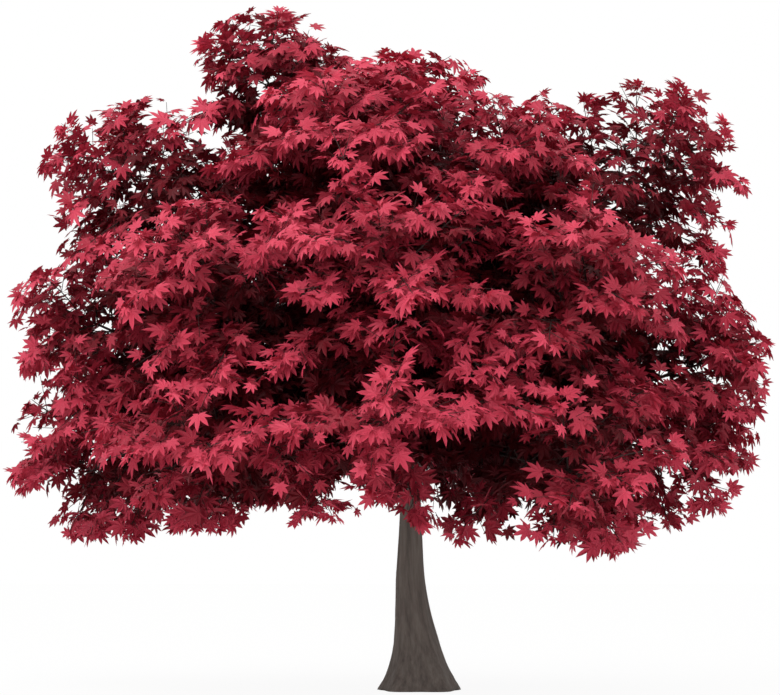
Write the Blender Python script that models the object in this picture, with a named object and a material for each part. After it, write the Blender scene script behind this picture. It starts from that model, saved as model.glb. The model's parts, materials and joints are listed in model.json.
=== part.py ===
"""A red-leaved Japanese maple of garden size, rooted in level ground.

The trunk stands on its flat cut at z = 0, with the origin in the middle of the cut. It forks into boughs
that carry twenty-four masses of foliage. Each mass is one solid: a stem that bears opposite pairs of
side shoots, and lobed leaves sunk into them. Metres, +Z up, and -Y is the front of the tree.
"""

import math
import random

import bmesh
import bpy
from mathutils import Matrix, Vector
from mathutils.bvhtree import BVHTree

UP = Vector((0, 0, 1))
GAP = 0.0003  # between solids that meet
WELD = 0.00001
SHARP_EDGE = 61  # degrees: six-sided boughs are shaded round, and their ends stay sharp

# The trunk: a tapering shaft on a fluted root flare, which leans a little to the left of its own foot.
TRUNK_HEIGHT = 1.05
SHAFT_RADIUS = 0.0775  # of the shaft, carried down to the ground
SHAFT_TAPER = 0.042  # radius lost in each metre of height
FLARE_RADIUS = 0.0965  # what the flare adds at the ground
FLARE_HEIGHT = 0.16  # in which the flare falls to 37 %
FLUTES = 5
FLUTE_DEPTH = 0.16  # as a share of the flare
LEAN = -0.038  # sideways shift of the shaft
LEAN_HEIGHT = 0.52  # where that shift is complete
TRUNK_SIDES = 20
TRUNK_RINGS = (0, 0.03, 0.07, 0.12, 0.18, 0.26, 0.36, 0.48, 0.62, 0.76, 0.90, TRUNK_HEIGHT)

# The masses of foliage: the middle of each, and its half width, half depth and half height.
MASSES = {
    # The low ring, round the foot of the crown.
    "low_left": ((-1.35, 0.02, 1.00), (0.46, 0.47, 0.40)),
    "low_front_left": ((-0.83, -0.80, 1.02), (0.50, 0.47, 0.38)),
    "low_front": ((-0.14, -1.12, 1.10), (0.50, 0.45, 0.35)),
    "low_front_right": ((0.56, -0.84, 0.93), (0.55, 0.47, 0.40)),
    "low_right": ((1.02, 0.00, 1.04), (0.46, 0.47, 0.39)),
    "low_back_right": ((0.62, 0.86, 1.10), (0.50, 0.47, 0.38)),
    "low_back": ((-0.14, 1.14, 1.17), (0.50, 0.45, 0.36)),
    "low_back_left": ((-0.88, 0.84, 1.12), (0.50, 0.47, 0.38)),
    # The ring at the crown's widest.
    "mid_left": ((-1.35, -0.06, 1.56), (0.45, 0.47, 0.38)),
    "mid_front_left": ((-0.86, -0.70, 1.62), (0.48, 0.47, 0.43)),
    "mid_front": ((-0.14, -0.98, 1.68), (0.51, 0.47, 0.43)),
    "mid_front_right": ((0.60, -0.74, 1.60), (0.51, 0.47, 0.43)),
    "mid_right": ((1.11, -0.02, 1.37), (0.45, 0.47, 0.41)),
    "mid_back_right": ((0.66, 0.76, 1.62), (0.51, 0.47, 0.43)),
    "mid_back": ((-0.14, 1.00, 1.68), (0.51, 0.47, 0.43)),
    "mid_back_left": ((-0.88, 0.72, 1.64), (0.48, 0.47, 0.43)),
    # The shoulders and the top.
    "top_left": ((-1.24, 0.06, 2.22), (0.45, 0.43, 0.39)),
    "top_right": ((0.98, 0.05, 2.19), (0.47, 0.47, 0.54)),
    "upper_front": ((-0.30, -0.56, 2.22), (0.57, 0.47, 0.41)),
    "upper_front_right": ((0.30, -0.42, 2.13), (0.46, 0.47, 0.46)),
    "upper_back": ((-0.35, 0.58, 2.20), (0.57, 0.47, 0.43)),
    "upper_back_right": ((0.36, 0.50, 2.12), (0.46, 0.47, 0.46)),
    "top_centre": ((-0.11, 0.02, 2.45), (0.53, 0.47, 0.36)),
    "spire_left": ((-0.62, 0.02, 2.58), (0.34, 0.36, 0.44)),
}
MASS_MARGIN = 0.004  # from either of two masses to the wall between them
CROWN_HEART = Vector((-0.10, 0, 1.35))  # the point that every leaf's face turns away from

# The boughs: the limb that each one leaves, at what share of that limb's length, and the mass it
# carries. A bough is listed after the limb that it leaves.
BOUGHS = {
    "leader": ("trunk", 0.98, "top_centre"),
    "bough_mid_left": ("trunk", 0.90, "mid_left"),
    "bough_mid_front_left": ("trunk", 0.82, "mid_front_left"),
    "bough_mid_front": ("trunk", 0.93, "mid_front"),
    "bough_mid_front_right": ("trunk", 0.85, "mid_front_right"),
    "bough_mid_right": ("trunk", 0.91, "mid_right"),
    "bough_mid_back_right": ("trunk", 0.83, "mid_back_right"),
    "bough_mid_back": ("trunk", 0.92, "mid_back"),
    "bough_mid_back_left": ("trunk", 0.84, "mid_back_left"),
    "bough_low_left": ("bough_mid_left", 0.34, "low_left"),
    "bough_low_front_left": ("bough_mid_front_left", 0.34, "low_front_left"),
    "bough_low_front": ("bough_mid_front", 0.34, "low_front"),
    "bough_low_front_right": ("bough_mid_front_right", 0.30, "low_front_right"),
    "bough_low_right": ("bough_mid_right", 0.36, "low_right"),
    "bough_low_back_right": ("bough_mid_back_right", 0.34, "low_back_right"),
    "bough_low_back": ("bough_mid_back", 0.34, "low_back"),
    "bough_low_back_left": ("bough_mid_back_left", 0.34, "low_back_left"),
    "bough_top_left": ("leader", 0.22, "top_left"),
    "bough_top_right": ("leader", 0.30, "top_right"),
    "bough_upper_back": ("leader", 0.40, "upper_back"),
    "bough_upper_front": ("leader", 0.46, "upper_front"),
    "bough_upper_back_right": ("leader", 0.54, "upper_back_right"),
    "bough_upper_front_right": ("leader", 0.58, "upper_front_right"),
    "bough_spire_left": ("leader", 0.66, "spire_left"),
}
LEADER_RADIUS = 0.031
FOOT_SHARE = 0.56  # a bough's radius at its foot, as a share of its parent's there
TIP_RADIUS = 0.0085
TAPER_POWER = 0.8  # 1 would be a straight taper
BOUGH_POINTS = 7
BOUGH_BOW = 0.42  # how far a bough holds its first and last headings, as a share of its span
BOUGH_RISE = 0.7  # how strongly its first heading follows its parent's
TRUNK_POINTS = 13  # of the trunk's centre line, from which boughs are placed

# Twigs. A stem runs through each mass and bears opposite pairs of side shoots, each pair turned a
# quarter round from the one before it, with pairs of leaves between them.
STEM_REACH = 0.62  # of the way through the mass
STEM_NODES = (0.14, 0.40, 0.66, 0.92)  # where the pairs of shoots stand, as shares of the stem
STEM_ANGLES = (88, 76, 62, 46)  # degrees between each pair and the stem's heading
STEM_LEAVES = (0.27, 0.53, 0.79)  # where the pairs of leaves stand
STEM_RADII = (0.0080, 0.0060)
STEM_SIDES = 5
STEM_TURN = 20  # degrees that the first pair may be off the upright
SHOOT_WANDER = 8  # degrees that a shoot may stray from its pair's angle
SHOOT_STOP = 0.21  # from a shoot's tip to the mass's outside
SHOOT_SHORTEST = 0.05
SHOOT_LEAVES = 0.66  # where a shoot bears its pair of leaves, as a share of it
SHOOT_RADII = (0.0056, 0.0048)
SHOOT_SIDES = 3
ROOT_DEPTH = 0.006  # from a shoot's tip back to the root of the leaf there

# Leaves.
LEAF_LENGTH = (0.14, 0.40)
LEAF_VARIETY = (0.86, 1)  # of the longest
LEAF_THICKNESS = 0.045  # as a share of its length
LEAF_SPREAD = 74  # degrees between a shoot's heading and the leaves of a pair
LEAF_WANDER = 40
LEAF_DROOP = 0.30  # how strongly a leaf's heading turns down
DROOP_VARIETY = (0.2, 1.3)
LEAF_TILT = (0.55, 0.7, 0.8)  # how much a leaf faces up, faces outwards, and strays
LEAF_TRIES = 40  # turns that a leaf looks at, to take the one with the most room
LEAF_END = 0.99  # of that room, so that no tip stands on the mass's outside
# A leaf's outline as shares of its length: along it, and to one side. Root, side lobe, notch and tip.
LEAF_OUTLINE = ((0.0, 0.0), (0.42, -0.56), (0.56, -0.23), (1.0, 0.0), (0.56, 0.23), (0.42, 0.56))
LEAF_MIDDLE = 0.27  # where the blade is thickest
LOBE_SAG = 0.10  # how far the end of a lobe hangs below the blade's middle

# Materials: colour, roughness.
BARK = ((0.130, 0.115, 0.100, 1), 0.85)
CRIMSON = ((0.42, 0.030, 0.065, 1), 0.55)


def clear_scene():
    for item in list(bpy.data.objects):
        bpy.data.objects.remove(item)


def new_collection(name):
    made = bpy.data.collections.new(name)
    bpy.context.scene.collection.children.link(made)
    return made


def new_material(name, look):
    colour, roughness = look
    made = bpy.data.materials.new(name)
    made.use_nodes = True
    shader = made.node_tree.nodes["Principled BSDF"]
    shader.inputs["Base Color"].default_value = colour
    shader.inputs["Roughness"].default_value = roughness
    shader.inputs["Metallic"].default_value = 0
    made.diffuse_color = colour
    return made


def new_mesh(name, shape):
    """The mesh of a bmesh, which is freed."""
    made = bpy.data.meshes.new(name)
    shape.to_mesh(made)
    shape.free()
    return made


def new_object(name, mesh, group):
    made = bpy.data.objects.new(name, mesh)
    group.objects.link(made)
    return made


def apply_modifiers(item):
    """Gives an object the mesh that its modifiers make."""
    bpy.context.view_layer.update()
    graph = bpy.context.evaluated_depsgraph_get()
    mesh = bpy.data.meshes.new_from_object(item.evaluated_get(graph))
    item.modifiers.clear()
    item.data = mesh


def search_tree(meshes):
    """One search tree over the faces of several meshes, for finding out what touches them."""
    shape = bmesh.new()
    for mesh in meshes:
        shape.from_mesh(mesh)
    tree = BVHTree.FromBMesh(shape)
    shape.free()
    return tree


def shade_round(item):
    item.data.shade_smooth()
    item.data.set_sharp_from_angle(angle=math.radians(SHARP_EDGE))


class Space:
    """The room that one mass keeps to: a rounded outside, cut by flat walls against its neighbours."""

    def __init__(self, middle, size):
        self.middle = Vector(middle)
        self.size = size
        self.walls = []

    def reach(self, way):
        """From the middle to the rounded outside."""
        return 1 / math.sqrt(sum((a / s) ** 2 for a, s in zip(way, self.size)))

    def add_wall(self, other):
        """A wall square to the line between two middles, which it divides as the two reaches do."""
        between = other.middle - self.middle
        way = between.normalized()
        own, theirs = self.reach(way), other.reach(-way)
        at = between.length * own / (own + theirs) - MASS_MARGIN
        self.walls.append((self.middle + way * at, way))

    def holds(self, point):
        level = sum(((a - m) / s) ** 2 for a, m, s in zip(point, self.middle, self.size))
        return level <= 1 and all((point - spot).dot(way) <= 0 for spot, way in self.walls)

    def room(self, start, way):
        """How far a straight line runs from a point inside before it leaves the space."""
        place = Vector([(a - m) / s for a, m, s in zip(start, self.middle, self.size)])
        step = Vector([a / s for a, s in zip(way, self.size)])
        along = place.dot(step)
        square = step.length_squared
        root = max(along**2 - square * (place.length_squared - 1), 0)
        far = (math.sqrt(root) - along) / square
        for spot, out in self.walls:
            closing = way.dot(out)
            if closing > 0:
                far = min(far, (spot - start).dot(out) / closing)
        return max(far, 0)


def make_spaces():
    spaces = {name: Space(*values) for name, values in MASSES.items()}
    for space in spaces.values():
        for other in spaces.values():
            if other is not space:
                space.add_wall(other)
    return spaces


# ---- trunk ----


def trunk_middle(height):
    share = min(height / LEAN_HEIGHT, 1)
    return Vector((LEAN * share * share * (3 - 2 * share), 0, height))


def trunk_radius(height, turn=None):
    """The radius at a height: the mean one, or the fluted one in a direction."""
    shaft = SHAFT_RADIUS - SHAFT_TAPER * height
    flare = FLARE_RADIUS * math.exp(-height / FLARE_HEIGHT)
    flutes = 0 if turn is None else FLUTE_DEPTH * math.sin(FLUTES * turn)
    return shaft + flare * (1 + flutes)


def trunk_mesh(name, extra=0):
    """A loft through fluted rings, closed by a flat face at each end. Extra makes it fatter and taller."""
    shape = bmesh.new()
    rings = []
    for height in TRUNK_RINGS:
        middle = trunk_middle(height)
        if height == TRUNK_HEIGHT:
            middle.z += extra
        ring = []
        for i in range(TRUNK_SIDES):
            turn = math.tau * i / TRUNK_SIDES
            out = Vector((math.cos(turn), math.sin(turn), 0))
            ring.append(shape.verts.new(middle + out * (trunk_radius(height, turn) + extra)))
        rings.append(ring)
    for low, high in zip(rings, rings[1:]):
        for i in range(TRUNK_SIDES):
            j = (i + 1) % TRUNK_SIDES
            shape.faces.new((low[i], low[j], high[j], high[i]))
    shape.faces.new(rings[0][::-1])
    shape.faces.new(rings[-1])
    return new_mesh(name, shape)


# ---- boughs ----


class Limb:
    """The centre line of a limb, as evenly spaced points, and its radius at each."""

    def __init__(self, line, radii):
        self.line = line
        self.radii = radii

    def at(self, share):
        """The point, heading and radius at a share of the length."""
        place = share * (len(self.line) - 1)
        i = min(int(place), len(self.line) - 2)
        part = place - i
        a, b = self.line[i], self.line[i + 1]
        return a.lerp(b, part), (b - a).normalized(), self.radii[i] * (1 - part) + self.radii[i + 1] * part


def trunk_limb():
    heights = [TRUNK_HEIGHT * i / (TRUNK_POINTS - 1) for i in range(TRUNK_POINTS)]
    return Limb([trunk_middle(h) for h in heights], [trunk_radius(h) for h in heights])


def bough_limb(name, limbs, spaces):
    """A bowed limb from its parent's centre line to the place where it enters its mass."""
    parent, share, mass = BOUGHS[name]
    start, parent_heading, parent_radius = limbs[parent].at(share)
    space = spaces[mass]
    inward = (start - space.middle).normalized()
    end = space.middle + inward * space.room(space.middle, inward)
    first = ((end - start).normalized() + BOUGH_RISE * parent_heading).normalized()
    pull = (end - start).length * BOUGH_BOW
    a, b, c, d = start, start + first * pull, end + inward * pull, end
    foot = LEADER_RADIUS if name == "leader" else parent_radius * FOOT_SHARE
    line, radii = [], []
    for i in range(BOUGH_POINTS):
        t = i / (BOUGH_POINTS - 1)
        s = 1 - t
        line.append(a * s**3 + b * 3 * t * s**2 + c * 3 * t**2 * s + d * t**3)
        radii.append(TIP_RADIUS + (foot - TIP_RADIUS) * s**TAPER_POWER)
    return Limb(line, radii)


def tube(name, limb, group, extra=0):
    """A six-sided tube along a limb, as a mesh with its caps welded on."""
    curve = bpy.data.curves.new(name, "CURVE")
    curve.dimensions = "3D"
    curve.bevel_depth = 1
    curve.bevel_resolution = 1
    curve.use_fill_caps = True
    spline = curve.splines.new("POLY")
    spline.points.add(len(limb.line) - 1)
    for point, place, radius in zip(spline.points, limb.line, limb.radii):
        point.co = (*place, 1)
        point.radius = radius + extra
    guide = new_object(name + "_guide", curve, group)
    bpy.context.view_layer.update()
    graph = bpy.context.evaluated_depsgraph_get()
    mesh = bpy.data.meshes.new_from_object(guide.evaluated_get(graph))
    shape = bmesh.new()
    shape.from_mesh(mesh)
    bmesh.ops.remove_doubles(shape, verts=shape.verts, dist=WELD)
    shape.to_mesh(mesh)
    shape.free()
    made = new_object(name, mesh, group)
    made.matrix_world = guide.matrix_world
    bpy.data.objects.remove(guide)
    return made


def make_limbs(spaces, tree, cutters, bark):
    """The trunk and boughs. A bough's foot is cut clear of the limbs that were made before it."""
    limbs = {"trunk": trunk_limb()}
    trunk = new_object("trunk", trunk_mesh("trunk"), tree)
    trunk.data.materials.append(bark)
    shade_round(trunk)
    new_object("trunk_cutter", trunk_mesh("trunk_cutter", GAP), cutters)
    for name in BOUGHS:
        limbs[name] = bough_limb(name, limbs, spaces)
        bough = tube(name, limbs[name], tree)
        own = search_tree([bough.data])
        for cutter in cutters.objects:
            if own.overlap(search_tree([cutter.data])):
                cut = bough.modifiers.new("clear_of_" + cutter.name, "BOOLEAN")
                cut.operation = "DIFFERENCE"
                cut.object = cutter
        apply_modifiers(bough)
        bough.data.materials.append(bark)
        shade_round(bough)
        tube(name + "_cutter", limbs[name], cutters, GAP)
    for cutter in cutters.objects:
        cutter.hide_render = True
        cutter.display_type = "WIRE"
    return limbs


# ---- twigs and leaves ----


def twig_mesh(start, end, radii, sides):
    """A straight tapering twig with flat ends."""
    shape = bmesh.new()
    way = end - start
    bmesh.ops.create_cone(
        shape, cap_ends=True, segments=sides, radius1=radii[0], radius2=radii[1], depth=way.length
    )
    turn = way.to_track_quat("Z", "Y").to_matrix().to_4x4()
    shape.transform(Matrix.Translation((start + end) / 2) @ turn)
    return new_mesh("twig", shape)


def leaf_mesh(root, heading, normal, length):
    """A three-lobed blade: its outline joined to a point above its middle and to one below."""
    side = normal.cross(heading)

    def place(along, across, rise):
        return root + length * (heading * along + side * across + normal * rise)

    shape = bmesh.new()
    rim = []
    for along, across in LEAF_OUTLINE:
        away = math.hypot(along - LEAF_MIDDLE, across) / (1 - LEAF_MIDDLE)
        sag = LOBE_SAG * away**2 if along > 0 else 0
        rim.append(shape.verts.new(place(along, across, -sag)))
    top = shape.verts.new(place(LEAF_MIDDLE, 0, LEAF_THICKNESS / 2))
    under = shape.verts.new(place(LEAF_MIDDLE, 0, -LEAF_THICKNESS / 2))
    for i in range(len(rim)):
        j = (i + 1) % len(rim)
        shape.faces.new((rim[i], rim[j], top))
        shape.faces.new((rim[j], rim[i], under))
    return new_mesh("leaf", shape)


class Mass:
    """The twigs and leaves of one mass. A piece is kept if it stays in the space and touches nothing
    but what it grows from."""

    def __init__(self, space, limb_tree, seed):
        self.space = space
        self.rng = random.Random(seed)
        self.pieces = []
        self.trees = [limb_tree]  # the limbs', and then one for each piece

    def keep(self, mesh):
        """Adds a piece, and returns its place in the list of trees."""
        self.pieces.append(mesh)
        self.trees.append(search_tree([mesh]))
        return len(self.trees) - 1

    def try_to_keep(self, mesh, grows_from):
        """Adds a piece if it fits. Otherwise it returns None."""
        if not all(self.space.holds(v.co) for v in mesh.vertices):
            return None
        own = search_tree([mesh])
        if any(own.overlap(tree) for i, tree in enumerate(self.trees) if i not in grows_from):
            return None
        return self.keep(mesh)

    def leaf(self, root, shoot_heading, side, shoot):
        """A leaf to the left of a shoot (-1), to its right (1) or ahead of it (0)."""
        rng = self.rng
        facing_up, facing_out, stray = LEAF_TILT
        out = (root - CROWN_HEART).normalized() + (root - self.space.middle).normalized()
        droop = LEAF_DROOP if side else LEAF_DROOP * (1 - abs(shoot_heading.z))
        turns = []
        for _ in range(LEAF_TRIES):
            scatter = Vector([rng.uniform(-stray, stray) for _ in range(3)])
            normal = UP * facing_up + out * facing_out + scatter
            if side == 0:
                normal -= shoot_heading * normal.dot(shoot_heading)
            normal.normalize()
            angle = LEAF_SPREAD * side + rng.uniform(-LEAF_WANDER, LEAF_WANDER)
            heading = Matrix.Rotation(math.radians(angle), 3, normal) @ shoot_heading
            heading -= UP * droop * rng.uniform(*DROOP_VARIETY)
            heading = (heading - normal * heading.dot(normal)).normalized()
            most = LEAF_LENGTH[1] * rng.uniform(*LEAF_VARIETY)
            length = min(self.space.room(root, heading) * LEAF_END, most)
            if length > LEAF_LENGTH[0]:
                turns.append((length, heading, normal))
        for length, heading, normal in sorted(turns, key=lambda turn: -turn[0]):
            if self.try_to_keep(leaf_mesh(root, heading, normal, length), (shoot,)):
                return

    def shoot(self, root, way, grows_from):
        """A side shoot with a leaf at its tip and a pair of leaves behind that."""
        tip = root + way * max(self.space.room(root, way) - SHOOT_STOP, SHOOT_SHORTEST)
        shoot = self.try_to_keep(twig_mesh(root, tip, SHOOT_RADII, SHOOT_SIDES), grows_from)
        if shoot is None:
            return
        grows_from.append(shoot)
        self.leaf(tip - way * ROOT_DEPTH, way, 0, shoot)
        for side in (-1, 1):
            self.leaf(root.lerp(tip, SHOOT_LEAVES), way, side, shoot)

    def grow(self, start, heading):
        """The stem, its pairs of side shoots, and its own leaves."""
        rng = self.rng
        end = start + heading * self.space.room(start, heading) * STEM_REACH
        stem = self.keep(twig_mesh(start, end, STEM_RADII, STEM_SIDES))
        upright = (UP - heading * heading.z).normalized()
        turn = rng.uniform(-STEM_TURN, STEM_TURN)
        for share, angle in zip(STEM_NODES, STEM_ANGLES):
            turn += 90
            grows_from = [stem]
            for half in (0, 180):
                tilt = math.radians(angle + rng.uniform(-SHOOT_WANDER, SHOOT_WANDER))
                across = Matrix.Rotation(math.radians(turn + half), 3, heading) @ upright
                way = heading * math.cos(tilt) + across * math.sin(tilt)
                self.shoot(start.lerp(end, share), way, grows_from)
        self.leaf(end - heading * ROOT_DEPTH, heading, 0, stem)
        for share in STEM_LEAVES:
            for side in (-1, 1):
                self.leaf(start.lerp(end, share), heading, side, stem)


def make_mass(name, space, bough, limb_tree, tree, seed):
    """One mass of foliage: its twigs and leaves joined into one solid."""
    mass = Mass(space, limb_tree, seed)
    tip = bough.line[-1]
    heading = (tip - bough.line[-2]).normalized()
    mass.grow(tip + heading * GAP, heading)
    made = new_object(name, mass.pieces[0], tree)
    pieces = new_collection(name + "_pieces")
    for mesh in mass.pieces[1:]:
        new_object(mesh.name, mesh, pieces)
    join = made.modifiers.new("join", "BOOLEAN")
    join.operation = "UNION"
    join.operand_type = "COLLECTION"
    join.collection = pieces
    apply_modifiers(made)
    for piece in list(pieces.objects):
        bpy.data.objects.remove(piece)
    bpy.data.collections.remove(pieces)
    return made


def main():
    clear_scene()
    tree = new_collection("red_leaved_maple")
    cutters = new_collection("cutters")
    spaces = make_spaces()
    limbs = make_limbs(spaces, tree, cutters, new_material("bark", BARK))
    limb_tree = search_tree([cutter.data for cutter in cutters.objects])
    crimson = new_material("crimson_leaves", CRIMSON)
    for seed, (bough, (_, _, mass)) in enumerate(BOUGHS.items()):
        made = make_mass(mass, spaces[mass], limbs[bough], limb_tree, tree, seed)
        made.data.materials.append(crimson)


main()
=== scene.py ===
# A red-leaved Japanese maple of garden size: its bark, twigs and leaves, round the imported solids.
# The crown grows by the rule of the solids, carried on to finer twigs. Metres, +Z up, -Y is the front.

import json
import math
import random

import bmesh
import bpy
import numpy as np
from mathutils import Matrix, Vector, noise
from mathutils.kdtree import KDTree

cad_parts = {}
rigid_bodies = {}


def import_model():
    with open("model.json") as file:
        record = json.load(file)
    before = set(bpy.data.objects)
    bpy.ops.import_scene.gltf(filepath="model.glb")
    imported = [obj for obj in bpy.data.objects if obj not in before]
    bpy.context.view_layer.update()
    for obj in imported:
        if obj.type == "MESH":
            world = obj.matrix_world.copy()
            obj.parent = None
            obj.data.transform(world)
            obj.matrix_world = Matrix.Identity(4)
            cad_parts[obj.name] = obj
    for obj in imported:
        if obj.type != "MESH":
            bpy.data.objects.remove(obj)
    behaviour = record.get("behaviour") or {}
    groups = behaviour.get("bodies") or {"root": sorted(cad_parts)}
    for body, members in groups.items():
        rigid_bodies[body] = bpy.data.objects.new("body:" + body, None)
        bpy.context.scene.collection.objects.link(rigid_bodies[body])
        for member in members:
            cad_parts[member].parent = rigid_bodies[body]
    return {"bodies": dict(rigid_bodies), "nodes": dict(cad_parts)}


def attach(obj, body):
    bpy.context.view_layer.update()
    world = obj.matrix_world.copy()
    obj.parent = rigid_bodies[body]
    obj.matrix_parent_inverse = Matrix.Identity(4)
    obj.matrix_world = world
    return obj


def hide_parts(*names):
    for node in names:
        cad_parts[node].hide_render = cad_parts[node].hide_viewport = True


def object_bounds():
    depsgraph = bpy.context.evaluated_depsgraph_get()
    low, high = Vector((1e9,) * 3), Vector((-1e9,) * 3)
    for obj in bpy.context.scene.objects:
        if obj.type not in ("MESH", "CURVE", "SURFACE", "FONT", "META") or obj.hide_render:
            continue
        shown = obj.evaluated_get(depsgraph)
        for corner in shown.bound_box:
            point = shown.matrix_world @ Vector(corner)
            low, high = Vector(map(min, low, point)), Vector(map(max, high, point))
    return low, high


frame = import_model()
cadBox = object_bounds()
body = next(iter(frame["bodies"]))
up = Vector((0, 0, 1))
print("frame loaded:", len(frame["nodes"]), "solids")


# Camera, light and floor.

cameraSet = {
    "place": (-0.126, -11.0, 0.62),
    "lens": 117.6,
    "tiltUp": 4.43,  # degrees
}

lightSet = {
    "zenith": 1.40,  # the dome's strength overhead
    "horizon": 0.62,
    "domeColour": (1, 1, 1, 1),
    "keyPlace": (-2.2, -5.5, 7.5),
    "keyAim": (-0.1, 0, 1.4),
    "keySize": 5.0,
    "keyPower": 285,
    "floorSize": 60,
    "floorColour": (0.80, 0.79, 0.78, 1),
    "floorRoughness": 0.9,
    "floorGlow": 0.93,  # how much of what the camera sees of the floor is its own even white
}


def newNode(tree, kind, inputs=(), **settings):
    # A node with its settings and, by input name or number, its values.
    node = tree.nodes.new(kind)
    for key, value in settings.items():
        setattr(node, key, value)
    for key, value in dict(inputs).items():
        node.inputs[key].default_value = value
    return node


def newMaterial(name, values):
    # A material, its node tree and its shader, with the shader's own values set.
    material = bpy.data.materials.new(name)
    material.use_nodes = True
    shader = material.node_tree.nodes["Principled BSDF"]
    for key, value in values.items():
        shader.inputs[key].default_value = value
    return material, material.node_tree, shader


def makeCamera():
    data = bpy.data.cameras.new("camera")
    data.lens = cameraSet["lens"]
    camera = bpy.data.objects.new("camera", data)
    camera.location = cameraSet["place"]
    camera.rotation_euler = (math.radians(90 + cameraSet["tiltUp"]), 0, 0)
    bpy.context.scene.collection.objects.link(camera)
    bpy.context.scene.camera = camera


def makeDome():
    # White where it is seen. It lights the tree from above more than from the side.
    world = bpy.data.worlds.new("dome")
    world.use_nodes = True
    bpy.context.scene.world = world
    tree = world.node_tree
    tree.nodes.clear()
    way = newNode(tree, "ShaderNodeTexCoord")
    split = newNode(tree, "ShaderNodeSeparateXYZ")
    levels = {"To Min": lightSet["horizon"], "To Max": lightSet["zenith"]}
    grade = newNode(tree, "ShaderNodeMapRange", levels)
    light = newNode(tree, "ShaderNodeBackground", {"Color": lightSet["domeColour"]})
    seen = newNode(tree, "ShaderNodeBackground", {"Color": lightSet["domeColour"]})
    path = newNode(tree, "ShaderNodeLightPath")
    mix = newNode(tree, "ShaderNodeMixShader")
    out = newNode(tree, "ShaderNodeOutputWorld")
    join = tree.links.new
    join(way.outputs["Generated"], split.inputs["Vector"])
    join(split.outputs["Z"], grade.inputs["Value"])
    join(grade.outputs["Result"], light.inputs["Strength"])
    join(path.outputs["Is Camera Ray"], mix.inputs["Fac"])
    join(light.outputs["Background"], mix.inputs[1])
    join(seen.outputs["Background"], mix.inputs[2])
    join(mix.outputs["Shader"], out.inputs["Surface"])


def makeKeyLight():
    data = bpy.data.lights.new("key", "AREA")
    data.size = lightSet["keySize"]
    data.energy = lightSet["keyPower"]
    key = bpy.data.objects.new("key", data)
    key.location = lightSet["keyPlace"]
    aim = Vector(lightSet["keyAim"])
    key.rotation_mode = "QUATERNION"
    key.rotation_quaternion = (aim - key.location).to_track_quat("-Z", "Y")
    bpy.context.scene.collection.objects.link(key)


def makeFloor():
    shape = bmesh.new()
    bmesh.ops.create_grid(shape, x_segments=1, y_segments=1, size=lightSet["floorSize"] / 2)
    mesh = bpy.data.meshes.new("floor")
    shape.to_mesh(mesh)
    shape.free()
    floor = bpy.data.objects.new("floor", mesh)
    bpy.context.scene.collection.objects.link(floor)
    values = {"Base Color": lightSet["floorColour"], "Roughness": lightSet["floorRoughness"]}
    material, tree, shader = newMaterial("paleFloor", values)
    glow = newNode(tree, "ShaderNodeEmission")
    path = newNode(tree, "ShaderNodeLightPath")
    share = newNode(tree, "ShaderNodeMath", {1: lightSet["floorGlow"]}, operation="MULTIPLY")
    mix = newNode(tree, "ShaderNodeMixShader")
    join = tree.links.new
    join(path.outputs["Is Camera Ray"], share.inputs[0])
    join(share.outputs["Value"], mix.inputs["Fac"])
    join(shader.outputs["BSDF"], mix.inputs[1])
    join(glow.outputs["Emission"], mix.inputs[2])
    join(mix.outputs["Shader"], tree.nodes["Material Output"].inputs["Surface"])
    mesh.materials.append(material)


# Materials.

# The noise that both kinds of bark are made of.
grainSet = {
    "broadDetail": 3,
    "fineDetail": 6,
    "fineRoughness": 0.65,
    "fineScale": 3.1,  # how much finer the fine noise is than the broad one
    "fineShare": 0.4,  # of the fine noise in the streaks
}

# What both kinds of bark share.
woodLook = {
    "specular": 0.3,
    "ramp": (0.32, 0.68),  # the streaks' values below which all is dark, and above which all is light
    "reliefDepth": 0.004,
}

barkLook = {
    "dark": (0.100, 0.080, 0.071, 1),
    "light": (0.236, 0.207, 0.180, 1),
    "streaks": 46,  # how fine the streaks are
    "relief": 0.35,
    "roughness": (0.72, 0.92),
}

twigLook = {
    "dark": (0.022, 0.009, 0.009, 1),
    "light": (0.072, 0.034, 0.031, 1),
    "streaks": 90,
    "relief": 0.2,
    "roughness": (0.6, 0.8),
}

# Leaf colours with painted shade: lit and shaded copies of one red, from the darkest for the shaded inside
# of the crown to the brightest for its sunlit outside.
leafShadeTints = {
    "leafDeepest": (0.09, 0.002, 0.006, 1),
    "leafDeep": (0.17, 0.006, 0.014, 1),
    "leafWine": (0.27, 0.013, 0.029, 1),
    "leafCrimson": (0.38, 0.024, 0.049, 1),
    "leafBright": (0.48, 0.036, 0.071, 1),
    "leafRose": (0.58, 0.052, 0.096, 1),
}

leafLook = {
    "roughness": (0.48, 0.66),
    "specular": 0.25,
    "wrinkles": 260,
    "relief": 0.12,
    "reliefDepth": 0.002,
}


def addSockets(tree, way, sockets):
    # A tree's inputs or outputs, by name, with their kinds.
    for name, kind in sockets.items():
        tree.interface.new_socket(name=name, in_out=way, socket_type="NodeSocket" + kind)


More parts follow.
